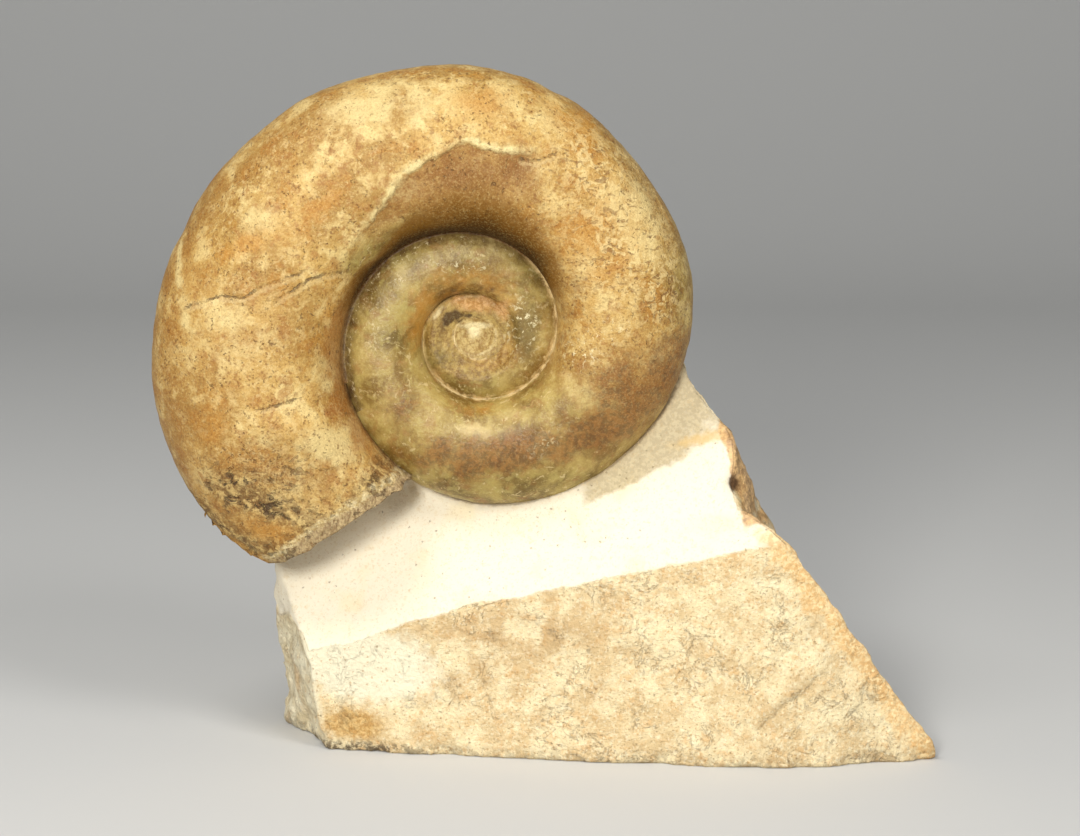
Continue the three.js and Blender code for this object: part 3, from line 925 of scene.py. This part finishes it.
def shell_material():
    s = Shader("fossil_shell", coil, 0.1)
    mark = s.mark

    # The two grounds: tan stone, and the darker glassy one of the inner turns.
    broad = s.noise(18, 3, 0.55)
    patches = s.noise(9, 4, 0.6, 0.3)
    medium = s.noise(4, 4, 0.6, 0.4)
    small = s.noise(1.7, 4, 0.7, 0.3)
    two_tone = s.step(small, 0.4, 0.6)
    busy = s.step(s.noise(10, 3), 0.42, 0.6, 0.25, 1.0)
    tan = s.mix(s.step(broad, 0.4, 0.6), (168, 129, 62), (197, 158, 86))
    tan = s.mix(s.step(patches, 0.52, 0.66, 0.0, 0.9), tan, (220, 193, 128))
    tan = s.mix(s.step(patches, 0.46, 0.34, 0.0, 0.8), tan, (176, 124, 46))
    tan = s.mix(s.step(medium, 0.52, 0.68, 0.0, 0.6), tan, (216, 186, 122))
    tan = s.mix(s.step(medium, 0.46, 0.34, 0.0, 0.6), tan, (156, 102, 38))
    tan = s.mix(s.times(s.step(small, 0.52, 0.66, 0.0, 0.65), busy), tan, (134, 86, 30))
    tan = s.mix(s.times(s.step(small, 0.46, 0.36, 0.0, 0.5), busy), tan, (226, 200, 140))
    glassy = s.mix(s.step(patches, 0.36, 0.64), (104, 82, 30), (168, 146, 78))
    glassy = s.mix(s.step(medium, 0.5, 0.7, 0.0, 0.7), glassy, (140, 94, 38))
    glassy = s.mix(s.step(s.noise(3.2, 4, 0.6, 0.5), 0.5, 0.66, 0.0, 0.55), glassy, (176, 160, 92))
    glassy = s.mix(s.step(s.noise(1.3, 4, 0.7), 0.54, 0.7, 0.0, 0.55), glassy, (196, 176, 118))
    glassy = s.mix(s.step(s.noise(2.4, 3, 0.6, 0.8), 0.62, 0.68, 0.0, 0.6), glassy, (212, 192, 140))
    s.base = s.mix(mark["olive"], tan, glassy)
    s.ragged = s.times(s.noise(2.5, 4, 0.65, centred=True), 1.1)

    # Stains with painted shade toward the outline, and the right side with its veins and dashes.
    s.paint(s.times(mark["stain_and_shade"], s.step(patches, 0.36, 0.6, 0.6, 0.25)), (148, 100, 40))
    # Pale patches, and painted highlight along the top of the outer whorl.
    s.paint(s.masked("cream_and_highlight", 0.7), (224, 202, 140))
    s.paint(s.masked("rust", 0.7), (186, 130, 48))
    s.paint(s.masked("brown", 0.75), s.mix(two_tone, (94, 59, 24), (142, 94, 42)))
    streaks = s.noise(1.7, 2, 0.5, 0.9, s.stretch(0.5, 1.0, 1.0))
    veins = s.noise(2.6, 3, 0.6, 0.8)
    veined = s.times(s.step(veins, 0.48, 0.58), s.times(mark["crackled"], 0.7))
    s.paint(veined, (226, 200, 138))
    dashes = s.times(s.step(streaks, 0.58, 0.64), mark["crackled"])
    s.paint(s.times(dashes, 0.65), (122, 80, 34))

    # The spalled patch under its pale ridge, and the steep inner side: dark brown deepened with painted
    # shade.
    from_ridge = s.plus(mark["ridge"], s.times(s.noise(3, 4, 0.65, centred=True), 3.0))
    spalled = s.times(s.step(from_ridge, 0.4, -1.2), s.step(mark["ridge"], -16.0, -9.0))
    spalled = s.times(spalled, s.times(mark["ridge_ends"], s.step(mark["olive"], 0.5, 0.1)))
    s.paint(s.times(spalled, s.step(small, 0.36, 0.6, 0.85, 0.45)), (140, 92, 34))
    ridge = s.times(s.step(s.math("ABSOLUTE", from_ridge), 1.8, 0.2), mark["ridge_ends"])
    s.paint(s.times(ridge, s.step(medium, 0.36, 0.6, 0.2, 0.9)), (226, 208, 148))
    # Painted shade on the left inner wall, in brown.
    s.paint(s.masked("wall", 0.6), (151, 93, 40))
    # Painted shade on the top inner wall, over its dark brown.
    s.paint(s.step(mark["umber_and_shade"], 0.02, 0.38, 0.0, 0.9), (122, 80, 22))
    s.paint(s.step(mark["umber_and_shade"], 0.3, 0.95, 0.0, 0.96), (52, 26, 3))

    # The broken mouth.
    scarred = s.mix(s.step(s.noise(2.2, 4, 0.65), 0.45, 0.62), (92, 62, 26), (206, 176, 112))
    s.paint(s.masked("rough", 0.7), scarred)
    s.paint(s.masked("broken", 0.65), scarred)
    s.paint(s.masked("rim_orange", 0.7), (186, 134, 58))
    scraped = s.step(s.noise(1.3, 4, 0.65, 0.3, s.stretch(1.6, 1.0, 0.7)), 0.36, 0.62)
    s.paint(s.masked("rim", 0.85), s.mix(scraped, (140, 116, 82), (190, 166, 124)))
    s.paint(s.masked("rim_pale", 0.8), s.mix(two_tone, (186, 160, 106), (230, 212, 164)))
    holes = s.step(s.noise(3.6, 4, 0.65, 0.6, s.stretch(0.8, 1.0, 1.2)), 0.56, 0.62)
    holes = s.times(holes, s.math("MAXIMUM", mark["rough"], s.times(mark["broken"], 0.6)))
    s.paint(s.times(holes, 0.9), (56, 34, 12))

    # The innermost turns.
    drab = s.mix(s.step(s.noise(1.6, 4, 0.7), 0.36, 0.64), (116, 82, 34), (186, 156, 88))
    s.paint(s.masked("core", 0.65), drab)
    disc = s.mix(s.step(s.noise(1.3, 4, 0.7), 0.36, 0.64), (146, 112, 52), (206, 180, 116))
    s.paint(s.times(mark["disc"], 0.85), disc)
    s.paint(s.masked("glass", 0.75), (100, 86, 42))
    s.paint(s.masked("pink", 0.85), s.mix(two_tone, (194, 138, 72), (234, 184, 124)))
    s.paint(s.masked("pearl", 0.85), (244, 228, 176))
    # Dark spots, two of them painted shade at the top of the core.
    s.paint(s.masked("dark", 0.85), (63, 40, 21))

    # Crystals, freckles, pits and cracks.
    flecks = s.times(s.step(s.noise(1.5, 4, 0.7, 0.5), 0.56, 0.62), mark["flecked"])
    s.paint(s.times(flecks, 0.85), (238, 226, 181))
    patchy = s.times(mark["speckled"], s.step(s.noise(7, 3), 0.36, 0.6, 0.4, 1.0))
    freckles = s.times(s.dots(1.25, 0.3, 0.55), patchy)
    pits = s.times(s.step(s.noise(1.3, 3, 0.7, 0.4), 0.62, 0.67), patchy)
    s.paint(s.times(freckles, 0.65), (117, 74, 24))
    s.paint(s.times(pits, 0.75), (98, 62, 22))
    cracks = None
    for name in CRACKS:
        wander = s.times(s.noise(1.6, 4, 0.65, centred=True), 2.4)
        off = s.plus(mark[name], wander)
        line = s.times(s.step(s.math("ABSOLUTE", off), 0.5, 0.1), mark[name + "_ends"])
        pale_side = s.step(s.math("ABSOLUTE", s.plus(off, 1.0)), 0.9, 0.2, 0.0, 0.28)
        s.paint(s.times(pale_side, mark[name + "_ends"]), (226, 202, 146))
        cracks = line if cracks is None else s.math("MAXIMUM", cracks, line)
    cracks = s.times(cracks, s.step(s.noise(2.5, 3), 0.4, 0.56, 0.25, 1.0))
    s.paint(s.times(cracks, 0.8), (104, 80, 48))

    # The seams between the whorls.
    off_seam = s.math("DIVIDE", mark["seam"], mark["line_width"])
    seam_noise = s.noise(2.5, 3)
    seam_wander = s.times(s.noise(1.8, 3, 0.65, centred=True), 2.0)
    pale_line = s.step(s.plus(off_seam, seam_wander), 1.0, 0.5)
    pale_line = s.times(s.times(pale_line, mark["seam_pale"]), s.step(seam_noise, 0.38, 0.54, 0.1, 1.0))
    s.paint(s.times(pale_line, 0.85), (226, 198, 142))
    dark_line = s.times(s.step(s.plus(off_seam, seam_wander), 2.8, 0.7), mark["seam_dark"])
    dark_line = s.times(dark_line, s.step(seam_noise, 0.3, 0.6, 1.0, 0.6))
    beside = s.times(s.step(off_seam, 3.0, 1.2), s.step(off_seam, 0.6, 1.2))
    crystals = s.times(s.step(s.noise(1.2, 4, 0.7, 0.4), 0.56, 0.64), beside)
    crystals = s.times(s.times(crystals, mark["seam_dark"]), mark["olive"])
    s.paint(s.times(dark_line, 0.9), (66, 38, 18))
    s.paint(s.times(crystals, 0.75), (222, 204, 160))

    # Grain, gloss and relief.
    grain = s.noise(0.6, 4, 0.75)
    grained = s.step(mark["olive"], 0.2, 0.9, 1.0, 0.45)
    s.paint(s.times(s.step(grain, 0.5, 0.66, 0.0, 0.3), grained), (107, 70, 26))
    s.paint(s.times(s.step(grain, 0.5, 0.36, 0.0, 0.18), grained), (236, 216, 147))
    s.put(s.surface.inputs["Specular IOR Level"], s.step(mark["umber_and_shade"], 0.0, 0.6, 0.4, 0.08))
    gloss = s.step(mark["olive"], 0.2, 0.9, 0.5, 0.38)
    gloss = s.plus(gloss, s.times(s.noise(3, 3, centred=True), 0.25))
    gloss = s.math("ADD", gloss, s.times(mark["broken"], 0.35), clamp=True)
    s.height = s.times(s.noise(0.9, 4, 0.6), s.step(mark["olive"], 0.2, 0.9, 0.3, 0.16))
    s.swell(ridge, 0.5)
    s.carve(pits, 0.2)
    s.carve(freckles, 0.08)
    s.carve(cracks, 0.3)
    s.carve(dashes, 0.15)
    s.carve(holes, 0.6)
    lumps = s.noise(2.2, 4, 0.65)
    s.swell(lumps, s.times(mark["broken"], 1.2))
    s.swell(lumps, s.times(mark["rough"], 0.9))
    s.swell(small, s.times(mark["core"], 0.5))
    return s.finish(gloss)


def stone_material():
    s = Shader("limestone", stone, 0.15)
    mark = s.mark

    # Three grounds: the cleaned white face, the buff weathered one and the raw sides.
    edge = s.plus(mark["edge"], s.times(s.noise(2.5, 4, centred=True), 0.9))
    chalk = s.times(s.step(edge, -0.3, 0.15), s.step(mark["side"], 0.6, 0.2))
    white = s.mix(s.step(s.noise(12, 4), 0.52, 0.74, 0.0, 0.5), (240, 230, 206), (240, 222, 176))
    white = s.mix(s.step(s.noise(2, 4, 0.7), 0.54, 0.7, 0.0, 0.4), white, (226, 206, 162))
    blotch = s.step(s.noise(9, 5, 0.62), 0.38, 0.62)
    buff = s.mix(blotch, (225, 198, 149), (248, 230, 185))
    buff = s.mix(s.step(s.noise(3.2, 4, 0.65), 0.5, 0.68, 0.0, 0.6), buff, (226, 182, 122))
    buff = s.mix(s.step(s.noise(1.2, 4, 0.7), 0.5, 0.64, 0.0, 0.75), buff, (250, 236, 198))
    flat_grains = s.noise(1.0, 4, 0.75, place=s.stretch(1.0, 1.0, 1.4))
    buff = s.mix(s.step(flat_grains, 0.55, 0.68, 0.0, 0.75), buff, (158, 124, 82))
    buff = s.mix(s.times(mark["drab"], s.step(blotch, 0.2, 0.8, 0.5, 0.15)), buff, (190, 152, 100))
    wisps = s.math("ABSOLUTE", s.noise(7, 5, 0.6, 1.2, centred=True))
    wisps = s.times(s.step(wisps, 0.014, 0.003), s.step(s.noise(12, 2), 0.48, 0.6))
    buff = s.mix(s.times(wisps, 0.35), buff, (150, 120, 82))
    raw = s.mix(s.step(s.noise(5, 5, 0.65), 0.38, 0.62), (222, 204, 164), (250, 238, 204))
    raw = s.mix(s.step(s.noise(12, 4), 0.55, 0.7, 0.0, 0.5), raw, (218, 176, 118))
    raw = s.mix(s.step(s.noise(1.6, 4, 0.7), 0.56, 0.7, 0.0, 0.45), raw, (160, 134, 98))
    s.base = s.mix(mark["side"], buff, raw)
    s.paint(chalk, white)
    s.ragged = s.times(s.noise(3, 4, 0.6, centred=True), 1.1)

    s.paint(s.masked("cream_left", 0.9), (246, 238, 208))
    speckle = s.step(s.noise(1.2, 3, 0.65), 0.42, 0.6)
    s.paint(s.masked("slope", 0.75), s.mix(speckle, (230, 182, 116), (250, 220, 162)))
    s.paint(s.masked("shaded", 0.85), s.mix(speckle, (182, 164, 126), (202, 185, 145)))
    s.paint(s.masked("tinted", 0.6), (222, 184, 112))
    rusty = s.mix(s.step(s.noise(2.0, 5, 0.7), 0.34, 0.66), (160, 110, 56), (236, 190, 124))
    s.paint(s.masked("crust", 0.8), rusty)
    s.paint(s.masked("patch", 0.85), s.mix(speckle, (190, 142, 70), (222, 182, 112)))
    s.paint(s.masked("hole", 0.9), (84, 52, 22))
    # Painted shade on the stone along its contact with the coil, darkest where they meet.
    contact_shade = s.plus(mark["near_shell"], s.times(s.noise(1.5, 3, centred=True), 1.2))
    s.paint(s.step(contact_shade, 3.2, 0.6, 0.0, 0.35), (176, 156, 122))
    s.paint(s.step(contact_shade, 1.1, 0.3, 0.0, 0.6), (104, 84, 54))
    specks = s.times(s.dots(1.9, 0.26, 0.3), s.step(s.noise(9, 2), 0.4, 0.55, 0.25, 1.0))
    grains = s.times(s.dots(1.3, 0.3, 0.45), s.step(chalk, 0.0, 1.0, 1.0, 0.3))
    faint = s.step(s.noise(0.9, 3, 0.8), 0.56, 0.66, 0.0, 0.4)
    s.paint(s.times(faint, chalk), (208, 182, 132))
    s.paint(s.times(specks, 0.55), (130, 106, 74))
    s.paint(s.times(grains, 0.5), (190, 142, 82))
    cracks = None
    for name in STONE_CRACKS:
        wander = s.times(s.noise(1.2, 4, 0.65, centred=True), 1.2)
        off = s.math("ABSOLUTE", s.plus(mark[name], wander))
        line = s.times(s.step(off, 0.6, 0.1), mark[name + "_ends"])
        cracks = line if cracks is None else s.math("MAXIMUM", cracks, line)
    s.paint(s.times(cracks, 0.25), (140, 120, 92))
    dirt = s.times(mark["low"], s.step(s.noise(2.2, 4, 0.65), 0.42, 0.56))
    s.paint(s.times(dirt, 0.85), (80, 62, 40))
    coarse = s.times(s.noise(1.6, 5, 0.65), s.step(chalk, 0.0, 1.0, 1.3, 0.22))
    crumbly = s.times(s.noise(3, 4, 0.7), s.times(mark["side"], 1.6))
    coarse = s.plus(coarse, crumbly)
    s.height = s.plus(coarse, s.times(s.noise(0.6, 3), 0.16))
    s.carve(specks, 0.12)
    s.carve(cracks, 0.12)
    s.carve(wisps, s.step(chalk, 0.0, 0.6, 0.2, 0.0))
    return s.finish(0.88)


coil.data.materials.append(shell_material())
stone.data.materials.append(stone_material())

pieces = ((coil, "ammonite_shell", "fossil_shell"), (stone, "limestone_matrix", "limestone"))
for piece, node, slot in pieces:
    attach(piece, "root")
    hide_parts(node)


# The stage: a pale floor that sweeps up behind the specimen.
def build_floor():
    half_width, front, back, bend = 2.0, -2.0, 0.9, 0.5
    profile = [(front, 0.0), (back, 0.0)]
    for i in range(1, 13):
        angle = math.radians(90 * i / 12)
        profile.append((back + bend * math.sin(angle), bend * (1 - math.cos(angle))))
    profile.append((back + bend, 2.5))
    points = [(side * half_width, y, z) for y, z in profile for side in (-1, 1)]
    mesh = bpy.data.meshes.new("floor")
    quads = [(2 * i, 2 * i + 1, 2 * i + 3, 2 * i + 2) for i in range(len(profile) - 1)]
    mesh.from_pydata(points, [], quads)
    mesh.shade_smooth()
    floor = bpy.data.objects.new("floor", mesh)
    bpy.context.scene.collection.objects.link(floor)
    s = Shader("floor")
    s.surface.inputs["Base Color"].default_value = colour(205, 205, 203)
    s.surface.inputs["Roughness"].default_value = 0.8
    mesh.materials.append(s.material)


def add_light(name, azimuth, elevation, distance, size, power, tint=(1, 1, 1)):
    """A square soft light round the specimen. Azimuth 0 is in front and positive is to the right."""
    data = bpy.data.lights.new(name, "AREA")
    data.size = size
    data.energy = power
    data.color = tint
    light = bpy.data.objects.new(name, data)
    a, e = math.radians(azimuth), math.radians(elevation)
    back = Vector((math.sin(a) * math.cos(e), -math.cos(a) * math.cos(e), math.sin(e)))
    light.location = Vector((0, 0, 0.09)) + back * distance
    light.rotation_mode = "QUATERNION"
    light.rotation_quaternion = back.to_track_quat("Z", "Y")
    bpy.context.scene.collection.objects.link(light)


def build_camera():
    """The photograph's viewpoint: 10 degrees above the horizon, square to the coil, 0.8 m away."""
    distance, scale = 800.0, 0.28  # millimetres, and millimetres per pixel at the coil
    elevation = math.radians(10)
    image_width, image_height = 1080, 836
    coil_x, coil_y = 475, 333  # the pixel at the coil's centre
    right = (image_width / 2 - coil_x) * scale
    below = (image_height / 2 - coil_y) * scale / math.cos(elevation)
    target = np.array([right, 0, COIL_HEIGHT - below])
    back = np.array([0, -math.cos(elevation), math.sin(elevation)])
    data = bpy.data.cameras.new("camera")
    data.sensor_width = 36
    data.lens = distance / scale / image_width * data.sensor_width
    camera = bpy.data.objects.new("camera", data)
    camera.location = Vector(to_row(target + distance * back))
    camera.rotation_mode = "QUATERNION"
    camera.rotation_quaternion = Vector(-back).to_track_quat("-Z", "Y")
    bpy.context.scene.collection.objects.link(camera)
    bpy.context.scene.camera = camera


build_floor()
add_light("key", -14, 19, 1.1, 0.22, 8.3, (1.0, 0.98, 0.94))
add_light("side", 38, 38, 1.2, 0.4, 5, (1.0, 0.98, 0.95))
add_light("top", -50, 60, 1.2, 0.5, 6.6, (1.0, 0.99, 0.97))
build_camera()
world = bpy.data.worlds.new("studio")
world.use_nodes = True
world.node_tree.nodes["Background"].inputs["Color"].default_value = colour(225, 228, 232)
world.node_tree.nodes["Background"].inputs["Strength"].default_value = 0.23
bpy.context.scene.world = world
bpy.context.scene.view_settings.view_transform = "Standard"
